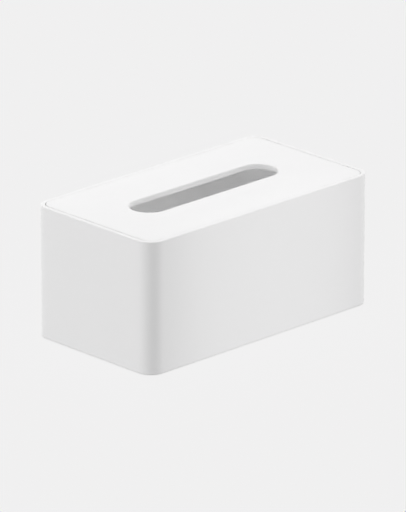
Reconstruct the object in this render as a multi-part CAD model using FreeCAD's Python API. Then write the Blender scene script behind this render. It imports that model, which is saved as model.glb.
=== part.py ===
"""Tissue box: an open-topped case with round upright corners and an inset lift-off lid.

Millimetres, +Z up, +X along the length, +Y towards the back. The origin is on the table,
under the middle of the box.

The case is one moulding: a floor, four plain walls and, a little below the rim, a narrow
ledge that runs round the inside. The lid is a second moulding. Its plate drops inside the
rim, rests on the ledge and lies flush with the rim, and a lip under it plugs into the mouth
of the case. Tissues are pulled through the long round-ended slot in its middle, which has a
collar under the plate. Four soft pads are set into the underside of the floor.
"""

import FreeCAD
import Part

import os

from FreeCAD import Vector

# Case
case_length = 250.0  # outside, along X
case_width = 135.4  # outside, along Y
case_height = 112.6  # from the underside of the floor to the rim
corner_radius = 13.5  # upright corners, outside
wall_thickness = 3.5
floor_thickness = 3.0
floor_fillet = 3.0  # inside, where the walls meet the floor
base_edge_radius = 0.6  # outside, round the underside
rim_outer_radius = 0.4
rim_inner_radius = 0.25

# Ledge inside the case, which carries the lid
ledge_width = 2.0  # how far it stands in from the wall
ledge_height = 3.0  # of its upright face; below that it slopes back to the wall at 45 degrees

# Lid plate
plate_thickness = 3.0
end_gap = 0.9  # between plate and rim, at each short end
side_gap = 0.4  # between plate and rim, along each long side
plate_edge_radius = 0.25

# Lip under the plate, which plugs into the mouth of the case
lip_depth = 6.0  # below the plate
lip_thickness = 2.0
lip_clearance = 0.3  # between lip and ledge
lip_foot_radius = 0.5

# Upright friction ribs on the outside of the lip
rib_radius = 1.0
rib_clearance = 0.05  # between rib and ledge
rib_lead_in = 1.5  # height of the taper at a rib's foot
side_rib_spacing = 150.0  # between the two ribs on each long side
end_rib_spacing = 60.0  # between the two ribs on each short end

# Slot through the lid, and the collar under it
slot_length = 156.0
slot_width = 33.6
slot_edge_radius = 0.4
collar_depth = 4.7  # from the top of the plate to the foot of the collar
collar_thickness = 2.5
collar_foot_radius = 0.6

# Pads under the floor
pad_diameter = 14.0
pad_thickness = 1.6
pad_stand = 0.5  # how far a pad stands below the floor
pad_edge_chamfer = 0.3
pad_clearance = 0.15  # round a pad in its recess
pad_inset = 12.0  # from the outside of the case to a pad's edge

# Heights above the table
base_z = pad_stand
floor_z = base_z + floor_thickness
rim_z = base_z + case_height
ledge_z = rim_z - plate_thickness
ledge_foot_z = ledge_z - ledge_height - ledge_width
lip_foot_z = ledge_z - lip_depth
collar_foot_z = rim_z - collar_depth

cut_margin = 5.0  # how far a cutting solid runs past the face that it opens
tolerance = 1e-4


def inset(outline, by_end, by_side):
    """The outline moved inwards, by by_end at its short ends and by_side along its long sides."""
    length, width, radius = outline
    return length - 2 * by_end, width - 2 * by_side, radius - (by_end + by_side) / 2


# Rectangular outlines, each as its length, width and corner radius
case_outline = (case_length, case_width, corner_radius)
inside_outline = inset(case_outline, wall_thickness, wall_thickness)
ledge_outline = inset(inside_outline, ledge_width, ledge_width)
plate_outline = inset(inside_outline, end_gap, side_gap)
lip_outline = inset(ledge_outline, lip_clearance, lip_clearance)
lip_inner_outline = inset(lip_outline, lip_thickness, lip_thickness)


def block(outline, bottom, top):
    """A block with round upright corners, centred on the Z axis."""
    length, width, radius = outline
    height = top - bottom
    box = Part.makeBox(length, width, height, Vector(-length / 2, -width / 2, bottom))
    uprights = [edge for edge in box.Edges if edge.BoundBox.ZLength > height / 2]
    return box.makeFillet(radius, uprights)


def round_ended_bar(length, width, bottom, top):
    """A block with two half-round ends, centred on the Z axis, with its length along X."""
    radius = width / 2
    reach = length / 2 - radius
    front_left = Vector(-reach, -radius, bottom)
    front_right = Vector(reach, -radius, bottom)
    back_right = Vector(reach, radius, bottom)
    back_left = Vector(-reach, radius, bottom)
    outline = Part.Wire([
        Part.LineSegment(front_left, front_right).toShape(),
        Part.Arc(front_right, Vector(length / 2, 0, bottom), back_right).toShape(),
        Part.LineSegment(back_right, back_left).toShape(),
        Part.Arc(back_left, Vector(-length / 2, 0, bottom), front_left).toShape(),
    ])
    return Part.Face(outline).extrude(Vector(0, 0, top - bottom))


def level_face(shape, z):
    """The largest flat face that lies level at height z."""
    faces = [face for face in shape.Faces if abs(face.BoundBox.ZMin - z) + face.BoundBox.ZLength < tolerance]
    return max(faces, key=lambda face: face.Area)


def outer_edges(shape, z):
    """The edges round the outside of the level face at height z."""
    return level_face(shape, z).OuterWire.Edges


def inner_edges(shape, z):
    """The edges round the hole in the level face at height z."""
    face = level_face(shape, z)
    holes = [wire for wire in face.Wires if not wire.isSame(face.OuterWire)]
    return [edge for wire in holes for edge in wire.Edges]


def make_ledge():
    """The ring that carries the lid, rooted in the middle of the wall."""
    root_outline = inset(case_outline, wall_thickness / 2, wall_thickness / 2)
    ring = block(root_outline, ledge_foot_z, ledge_z)
    ring = ring.cut(block(ledge_outline, ledge_foot_z - cut_margin, ledge_z + cut_margin))
    return ring.makeChamfer(ledge_width, inner_edges(ring, ledge_foot_z))


def pad_places():
    """The name and the centre of each pad."""
    x = case_length / 2 - pad_inset - pad_diameter / 2
    y = case_width / 2 - pad_inset - pad_diameter / 2
    return {
        "foot_front_left": (-x, -y),
        "foot_front_right": (x, -y),
        "foot_back_left": (-x, y),
        "foot_back_right": (x, y),
    }


def make_pad(x, y):
    """A soft round pad whose top fills its recess and whose foot stands on the table."""
    pad = Part.makeCylinder(pad_diameter / 2, pad_thickness, Vector(x, y, 0))
    return pad.makeChamfer(pad_edge_chamfer, outer_edges(pad, 0))


def make_case():
    """Floor, walls, rim and ledge, with a recess under the floor for each pad."""
    case = block(case_outline, base_z, rim_z)
    case = case.makeFillet(base_edge_radius, outer_edges(case, base_z))
    case = case.makeFillet(rim_outer_radius, outer_edges(case, rim_z))
    inside = block(inside_outline, floor_z, rim_z + cut_margin)
    case = case.cut(inside.makeFillet(floor_fillet, outer_edges(inside, floor_z)))
    case = case.makeFillet(rim_inner_radius, inner_edges(case, rim_z))
    case = case.fuse(make_ledge())
    recess_radius = pad_diameter / 2 + pad_clearance
    for x, y in pad_places().values():
        case = case.cut(Part.makeCylinder(recess_radius, pad_thickness, Vector(x, y, 0)))
    return case.removeSplitter()


def make_rib(x, y):
    """An upright round rib whose foot tapers away into the lip."""
    foot_radius = rib_radius - (lip_clearance - rib_clearance)
    taper_top_z = lip_foot_z + lip_foot_radius + rib_lead_in
    taper_foot = Vector(x, y, lip_foot_z + lip_foot_radius)
    taper = Part.makeCone(foot_radius, rib_radius, rib_lead_in, taper_foot)
    shank = Part.makeCylinder(rib_radius, ledge_z - taper_top_z, Vector(x, y, taper_top_z))
    return shank.fuse(taper)


def rib_places():
    """The centre of each rib: two on every side of the lip."""
    length, width, _ = ledge_outline
    end_x = length / 2 - rib_clearance - rib_radius
    side_y = width / 2 - rib_clearance - rib_radius
    on_sides = [(x, y) for x in (-side_rib_spacing / 2, side_rib_spacing / 2) for y in (-side_y, side_y)]
    on_ends = [(x, y) for x in (-end_x, end_x) for y in (-end_rib_spacing / 2, end_rib_spacing / 2)]
    return on_sides + on_ends


def make_lip():
    """The ring under the plate that plugs into the mouth of the case."""
    lip = block(lip_outline, lip_foot_z, ledge_z)
    lip = lip.cut(block(lip_inner_outline, lip_foot_z - cut_margin, ledge_z + cut_margin))
    lip = lip.makeFillet(lip_foot_radius, level_face(lip, lip_foot_z).Edges)
    return lip.multiFuse([make_rib(x, y) for x, y in rib_places()])


def make_lid():
    """Plate, lip and collar, with the slot cut through."""
    plate = block(plate_outline, ledge_z, rim_z)
    plate = plate.makeFillet(plate_edge_radius, outer_edges(plate, rim_z))
    collar_length = slot_length + 2 * collar_thickness
    collar_width = slot_width + 2 * collar_thickness
    collar = round_ended_bar(collar_length, collar_width, collar_foot_z, rim_z)
    lid = plate.multiFuse([make_lip(), collar]).removeSplitter()
    lid = lid.cut(round_ended_bar(slot_length, slot_width, collar_foot_z - cut_margin, rim_z + cut_margin))
    lid = lid.makeFillet(collar_foot_radius, level_face(lid, collar_foot_z).Edges)
    return lid.makeFillet(slot_edge_radius, inner_edges(lid, rim_z))


def write_parts():
    """One STEP file for each piece."""
    pieces = {"case": make_case(), "lid": make_lid()}
    for name, (x, y) in pad_places().items():
        pieces[name] = make_pad(x, y)
    os.makedirs("parts", exist_ok=True)
    for name, shape in pieces.items():
        (solid,) = shape.Solids
        solid.exportStep(os.path.join("parts", name + ".step"))
        print(name, "valid" if solid.isValid() else "NOT VALID", round(solid.Volume), "mm3")


write_parts()
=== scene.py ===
"""The looks of a matt white plastic tissue box.

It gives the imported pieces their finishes, and adds a pale floor, soft light and a camera. Lengths are in
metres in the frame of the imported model, unless a comment says otherwise.
"""

import math

import bpy
from mathutils import Matrix, Vector


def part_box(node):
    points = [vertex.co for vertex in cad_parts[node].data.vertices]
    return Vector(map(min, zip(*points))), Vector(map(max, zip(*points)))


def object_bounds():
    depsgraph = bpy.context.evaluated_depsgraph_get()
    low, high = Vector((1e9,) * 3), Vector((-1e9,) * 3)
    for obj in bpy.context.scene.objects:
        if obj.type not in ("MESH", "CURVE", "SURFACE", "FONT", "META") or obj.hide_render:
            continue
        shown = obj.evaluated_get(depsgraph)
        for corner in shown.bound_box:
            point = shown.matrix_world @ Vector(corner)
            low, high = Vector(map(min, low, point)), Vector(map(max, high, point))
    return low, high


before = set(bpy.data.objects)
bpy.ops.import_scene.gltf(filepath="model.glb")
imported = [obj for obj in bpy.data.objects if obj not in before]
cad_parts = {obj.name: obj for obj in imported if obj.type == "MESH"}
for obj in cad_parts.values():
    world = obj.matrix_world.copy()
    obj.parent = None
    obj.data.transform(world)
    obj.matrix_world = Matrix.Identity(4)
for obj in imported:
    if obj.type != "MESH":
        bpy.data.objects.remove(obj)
cad_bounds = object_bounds()

# The camera's direction in degrees and its distance, both from a point that lies this far to the right of the
# frame's origin and above it, as the camera sees it. Lens and sensor are in millimetres.
CAMERA_AZIMUTH = -44.03
CAMERA_ELEVATION = 19.98
CAMERA_DISTANCE = 5.46
CAMERA_LENS = 470.6
CAMERA_SENSOR = 36.0
NEAREST_SEEN = 0.1
FARTHEST_SEEN = 100.0
AIM_RIGHT = -0.0008
AIM_UP = 0.0512

# Linear grey of the background, and of the even light that comes from all round
BACKGROUND_GREY = 0.871
AMBIENT_GREY = 0.4

# The plastic: linear grey and roughness where it is darkest and where it is lightest, and the two values of
# its noise at which it gets there
PLASTIC_GREYS = (0.949, 0.961)
PLASTIC_ROUGHNESS = (0.66, 0.74)
PLASTIC_NOISE_ENDS = (0.3, 0.7)
PLASTIC_IOR = 1.46
PLASTIC_SPECULAR = 0.3

# Noise: scale per metre, and octaves of detail
CLOUD_NOISE = (22.0, 3.0)
FLECK_NOISE = (420.0, 2.0)
GRAIN_NOISE = (2600.0, 1.0)
BLOOM_NOISE = (900.0, 4.0)

# The share of flecks in the plastic's noise, and how far the lid's noise is shifted against the case's
FLECK_SHARE = 0.35
LID_NOISE_SHIFT = 3.7

# Bumps: strength, and height of what they raise
CLOUD_BUMP = (0.25, 0.0001)
GRAIN_BUMP = (0.3, 0.00003)
RING_BUMP = (0.6, 0.0003)
BLOOM_BUMP = (0.3, 0.0001)

# The pads: darkest and lightest linear grey, roughness, and scale of the moulded rings over a pad
PAD_GREYS = (0.34, 0.46)
PAD_ROUGHNESS = 0.8
RING_SCALE = 4.0

# Painted shade along the foot of the case, darker towards its lowest edge: how high it reaches, and the share
# of
#  the colour that it takes away
FOOT_SHADE_HEIGHT = 0.0014
FOOT_SHADE = 0.14

# Painted shade in the groove round the lid: the share of the colour that it takes away, the radius of the
# lid's
#  corners, and where the painted shade lies, outwards from the lid's edge and down from its top. Each of the
#  two is a middle, and a reach to both sides of it.
GROOVE_SHADE = 0.1
LID_CORNER = 0.0094
GROOVE_OUT = (0.00045, 0.00054)
GROOVE_DOWN = (0.00171, 0.00135)

# The floor: its width, how much of its tone is ambient light that the box shades, and how far it lies below
# the pads, so that a view from below doesn't meet both at one height
FLOOR_WIDTH = 40.0
FLOOR_LIT_SHARE = 0.02
FLOOR_DROP = 0.00005

# How far the foot of the box darkens the floor, how much of the floor's tone is left right against it, and
# how many rays are sent out to find it
CONTACT_REACH = 0.0015
CONTACT_TONE = 0.92
CONTACT_SAMPLES = 16

# Softboxes: point aimed at (as shares of the object's box), azimuth and elevation in degrees, distance,
# width, height, radiance. The last is a dim panel close in front of the long side.
MIDDLE = (0.5, 0.5, 0.5)
TOP = (0.5, 0.5, 1.0)
LOW_ON_FRONT = (0.54, 0.0, 0.18)
SOFTBOXES = {
    "softbox_left": (MIDDLE, 236.0, 0.5, 4.0, 1.2, 1.2, 7.4),
    "softbox_left_high": (MIDDLE, 262.0, 50.0, 4.0, 1.8, 1.8, 2.0),
    "softbox_right": (MIDDLE, 40.0, 18.0, 2.0, 0.9, 0.9, 2.8),
    "softbox_right_end": (MIDDLE, 75.0, 14.0, 4.0, 1.8, 1.8, 3.6),
    "softbox_front": (MIDDLE, 296.0, 15.0, 4.0, 1.5, 1.5, 2.8),
    "softbox_back_high": (TOP, 180.0, 45.0, 1.0, 0.5, 0.5, 2.7),
    "softbox_above": (TOP, 180.0, 75.0, 1.5, 0.9, 0.6, 2.4),
    "panel_right": (LOW_ON_FRONT, 0.0, 0.0, 0.045, 0.22, 0.36, 0.2),
}

# The white inside of the box is lit over many bounces
LIGHT_BOUNCES = 64


def camera_axes(azimuth, elevation):
    """Unit vectors from the point looked at back to the camera, to the camera's right, and up.

    Azimuth 0 is straight in front of the box, at -Y, and 90 is at its right-hand end, at +X.
    """
    a = math.radians(azimuth)
    e = math.radians(elevation)
    back = Vector((math.sin(a) * math.cos(e), -math.cos(a) * math.cos(e), math.sin(e)))
    right = Vector((math.cos(a), math.sin(a), 0))
    return back, right, back.cross(right)


def grey(value):
    """The colour of an opaque linear grey."""
    return value, value, value, 1


class Graph:
    """A small helper to write node graphs as expressions."""

    def __init__(self, tree):
        self.tree = tree
        self.tree.nodes.clear()

    def node(self, kind, inputs=None, **settings):
        made = self.tree.nodes.new(kind)
        for key, value in settings.items():
            setattr(made, key, value)
        for key, value in (inputs or {}).items():
            if isinstance(value, bpy.types.NodeSocket):
                self.tree.links.new(value, made.inputs[key])
            else:
                made.inputs[key].default_value = value
        return made

    def maths(self, operation, *values):
        return self.node("ShaderNodeMath", dict(enumerate(values)), operation=operation).outputs[0]

    def vector(self, operation, *values):
        return self.node("ShaderNodeVectorMath", dict(enumerate(values)), operation=operation).outputs[0]

    def height(self, place):
        return self.node("ShaderNodeSeparateXYZ", {0: place}).outputs["Z"]

    def noise(self, place, setting):
        scale, detail = setting
        made = self.node("ShaderNodeTexNoise", {"Vector": place, "Scale": scale, "Detail": detail})
        return made.outputs["Fac"]

    def spread(self, value, ends, value_ends=(0.0, 1.0)):
        """Goes evenly from the first end to the second, while the value goes between its own two ends."""
        return self.node("ShaderNodeMapRange", {
            "Value": value,
            "From Min": value_ends[0],
            "From Max": value_ends[1],
            "To Min": ends[0],
            "To Max": ends[1],
        }).outputs[0]

    def tone(self, value, greys, value_ends=(0.0, 1.0)):
        """Goes evenly from the first grey to the second, while the value goes between its own two ends."""
        made = self.node("ShaderNodeValToRGB", {"Fac": value})
        for element, position, shade in zip(made.color_ramp.elements, value_ends, greys):
            element.position = position
            element.color = grey(shade)
        return made.outputs["Color"]

    def bump(self, height, setting, under=None):
        """A bumped surface, over the one given as under."""
        strength, distance = setting
        inputs = {"Height": height, "Strength": strength, "Distance": distance}
        if under is not None:
            inputs["Normal"] = under
        return self.node("ShaderNodeBump", inputs).outputs[0]


def new_material(name):
    material = bpy.data.materials.new(name)
    material.use_nodes = True
    return material, Graph(material.node_tree)


def painted_foot_shade(g, place):
    """1 for plain plastic, and less towards the lowest edge of the case: painted shade along the foot."""
    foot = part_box("case")[0][2]
    return g.spread(g.height(place), (1 - FOOT_SHADE, 1.0), (foot, foot + FOOT_SHADE_HEIGHT))


def painted_groove_shade(g, place):
    """1 on open plastic, and less down in the groove between lid and rim: painted shade in the groove."""
    low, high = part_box("lid")
    straight = ((high[0] - low[0]) / 2 - LID_CORNER, (high[1] - low[1]) / 2 - LID_CORNER, 0)
    quarter = g.vector("ABSOLUTE", g.vector("MULTIPLY", place, (1, 1, 0)))
    past_straight = g.vector("MAXIMUM", g.vector("SUBTRACT", quarter, straight), (0, 0, 0))
    distance = g.node("ShaderNodeVectorMath", {0: past_straight}, operation="LENGTH").outputs["Value"]
    out, reach_out = GROOVE_OUT
    down, reach_down = GROOVE_DOWN
    ring = g.maths("COMPARE", distance, LID_CORNER + out, reach_out)
    deep = g.maths("COMPARE", g.height(place), high[2] - down, reach_down)
    return g.spread(g.maths("MULTIPLY", ring, deep), (1.0, 1 - GROOVE_SHADE))


def moulded_plastic(name, noise_shift):
    """Matt white moulded plastic: fine spark-eroded grain, slow changes of gloss and tone, and painted shade
    along the foot and in the groove round the lid.
    """
    material, g = new_material(name)
    here = g.node("ShaderNodeTexCoord").outputs["Object"]
    place = g.vector("ADD", here, (noise_shift, noise_shift, noise_shift))
    cloud = g.noise(place, CLOUD_NOISE)
    fleck = g.noise(place, FLECK_NOISE)
    grain = g.noise(place, GRAIN_NOISE)
    mixed = g.node("ShaderNodeMix", {"Factor": FLECK_SHARE, 2: cloud, 3: fleck}).outputs[0]
    white = g.tone(mixed, PLASTIC_GREYS, PLASTIC_NOISE_ENDS)
    # Painted shade: the white is darkened along the foot of the case and down in the groove round the lid
    painted_shade_factor = g.maths("MULTIPLY", painted_foot_shade(g, here), painted_groove_shade(g, here))
    white_with_painted_shade = g.node("ShaderNodeVectorMath", {0: white, "Scale": painted_shade_factor}, operation="SCALE").outputs[0]
    shader = g.node("ShaderNodeBsdfPrincipled", {
        "Base Color": white_with_painted_shade,
        "Roughness": g.spread(mixed, PLASTIC_ROUGHNESS, PLASTIC_NOISE_ENDS),
        "IOR": PLASTIC_IOR,
        "Specular IOR Level": PLASTIC_SPECULAR,
        "Normal": g.bump(grain, GRAIN_BUMP, under=g.bump(cloud, CLOUD_BUMP)),
    })
    g.node("ShaderNodeOutputMaterial", {"Surface": shader.outputs[0]})
    return material


def pad_rubber():
    """Soft grey rubber with moulded rings and a bloom of dust."""
    material, g = new_material("pad_rubber")
    coords = g.node("ShaderNodeTexCoord").outputs
    bloom = g.noise(coords["Object"], BLOOM_NOISE)
    from_middle = g.vector("SUBTRACT", coords["Generated"], (0.5, 0.5, 0.0))
    rings = g.node("ShaderNodeTexWave", {"Vector": from_middle, "Scale": RING_SCALE}, wave_type="RINGS",
                   rings_direction="Z").outputs["Fac"]
    shader = g.node("ShaderNodeBsdfPrincipled", {
        "Base Color": g.tone(bloom, PAD_GREYS),
        "Roughness": PAD_ROUGHNESS,
        "Normal": g.bump(bloom, BLOOM_BUMP, under=g.bump(rings, RING_BUMP)),
    })
    g.node("ShaderNodeOutputMaterial", {"Surface": shader.outputs[0]})
    return material


def dress():
    """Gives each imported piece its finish."""
    finishes = {
        "case": moulded_plastic("case_plastic_finish", 0.0),
        "lid": moulded_plastic("lid_plastic_finish", LID_NOISE_SHIFT),
    }
    rubber = pad_rubber()
    for name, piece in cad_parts.items():
        piece.data.materials.clear()
        piece.data.materials.append(finishes.get(name, rubber))


def seen_directly(g):
    """1 on a ray from the camera, or in a reflection or through glass, and 0 in the diffuse light."""
    path = g.node("ShaderNodeLightPath").outputs
    either = g.maths("MAXIMUM", path["Is Camera Ray"], path["Is Glossy Ray"])
    return g.maths("MAXIMUM", either, path["Is Transmission Ray"])


def make_world():
    """Even grey light from all round. The camera and reflections see the plain background in its place."""
    world = bpy.data.worlds.new("studio")
    bpy.context.scene.world = world
    world.use_nodes = True
    g = Graph(world.node_tree)
    strength = g.spread(seen_directly(g), (AMBIENT_GREY, BACKGROUND_GREY))
    light = g.node("ShaderNodeBackground", {"Color": grey(1), "Strength": strength})
    g.node("ShaderNodeOutputWorld", {"Surface": light.outputs[0]})


def floor_paint():
    """The background's tone with the soft shade round the foot of the box, and clear when seen from below."""
    material, g = new_material("floor_paint")
    lit = FLOOR_LIT_SHARE * BACKGROUND_GREY
    glow_full = BACKGROUND_GREY - lit
    diffuse = g.node("ShaderNodeBsdfDiffuse", {"Color": grey(lit / AMBIENT_GREY)})
    contact = g.node("ShaderNodeAmbientOcclusion", {"Distance": CONTACT_REACH}, samples=CONTACT_SAMPLES)
    shade = g.spread(contact.outputs["AO"], (CONTACT_TONE * glow_full, glow_full))
    glow = g.node("ShaderNodeEmission", {"Color": grey(1), "Strength": shade})
    both = g.node("ShaderNodeAddShader", {0: diffuse.outputs[0], 1: glow.outputs[0]})
    clear = g.node("ShaderNodeBsdfTransparent")
    behind = g.node("ShaderNodeNewGeometry").outputs["Backfacing"]
    sided = g.node("ShaderNodeMixShader", {0: behind, 1: both.outputs[0], 2: clear.outputs[0]})
    g.node("ShaderNodeOutputMaterial", {"Surface": sided.outputs[0]})
    return material


def make_floor():
    """A wide pale floor that puts no light, reflection or shadow of its own on the object."""
    height = cad_bounds[0][2] - FLOOR_DROP
    bpy.ops.mesh.primitive_plane_add(size=FLOOR_WIDTH, location=(0, 0, height))
    floor = bpy.context.object
    floor.name = "floor"
    floor.data.materials.append(floor_paint())
    floor.visible_diffuse = False
    floor.visible_glossy = False
    floor.visible_shadow = False


def place_in_box(shares):
    """The point that lies at these shares of the object's box, from its low corner to its high one."""
    low, high = cad_bounds
    return Vector(low[i] + share * (high[i] - low[i]) for i, share in enumerate(shares))


def make_softbox(name, setting, lit_pieces):
    """An evenly bright rectangle facing its aim. Only the pieces are lit by it, and no camera sees it."""
    aim, azimuth, elevation, distance, width, height, radiance = setting
    light = bpy.data.lights.new(name, "AREA")
    light.shape = "RECTANGLE"
    light.size = width
    light.size_y = height
    light.energy = radiance * math.pi * width * height
    softbox = bpy.data.objects.new(name, light)
    bpy.context.scene.collection.objects.link(softbox)
    back = camera_axes(azimuth, elevation)[0]
    facing = back.to_track_quat("Z", "Y").to_matrix().to_4x4()
    softbox.matrix_world = Matrix.Translation(place_in_box(aim) + back * distance) @ facing
    softbox.visible_camera = False
    softbox.light_linking.receiver_collection = lit_pieces


def make_lights():
    lit_pieces = bpy.data.collections.new("lit_by_softboxes")
    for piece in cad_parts.values():
        lit_pieces.objects.link(piece)
    for name, setting in SOFTBOXES.items():
        make_softbox(name, setting, lit_pieces)


def make_camera():
    back, right, up = camera_axes(CAMERA_AZIMUTH, CAMERA_ELEVATION)
    camera = bpy.data.objects.new("camera", bpy.data.cameras.new("camera"))
    bpy.context.scene.collection.objects.link(camera)
    camera.data.sensor_width = CAMERA_SENSOR
    camera.data.lens = CAMERA_LENS
    camera.data.clip_start = NEAREST_SEEN
    camera.data.clip_end = FARTHEST_SEEN
    place = back * CAMERA_DISTANCE + right * AIM_RIGHT + up * AIM_UP
    camera.matrix_world = Matrix.Translation(place) @ Matrix((right, up, back)).transposed().to_4x4()
    bpy.context.scene.camera = camera


def set_options():
    scene = bpy.context.scene
    scene.view_settings.view_transform = "Standard"
    scene.cycles.max_bounces = LIGHT_BOUNCES
    scene.cycles.diffuse_bounces = LIGHT_BOUNCES
    # The groove round the lid is thinner than a pixel, and comes out dotted if normals guide the denoiser.
    scene.cycles.denoising_input_passes = "RGB_ALBEDO"


dress()
make_world()
make_floor()
make_lights()
make_camera()
set_options()
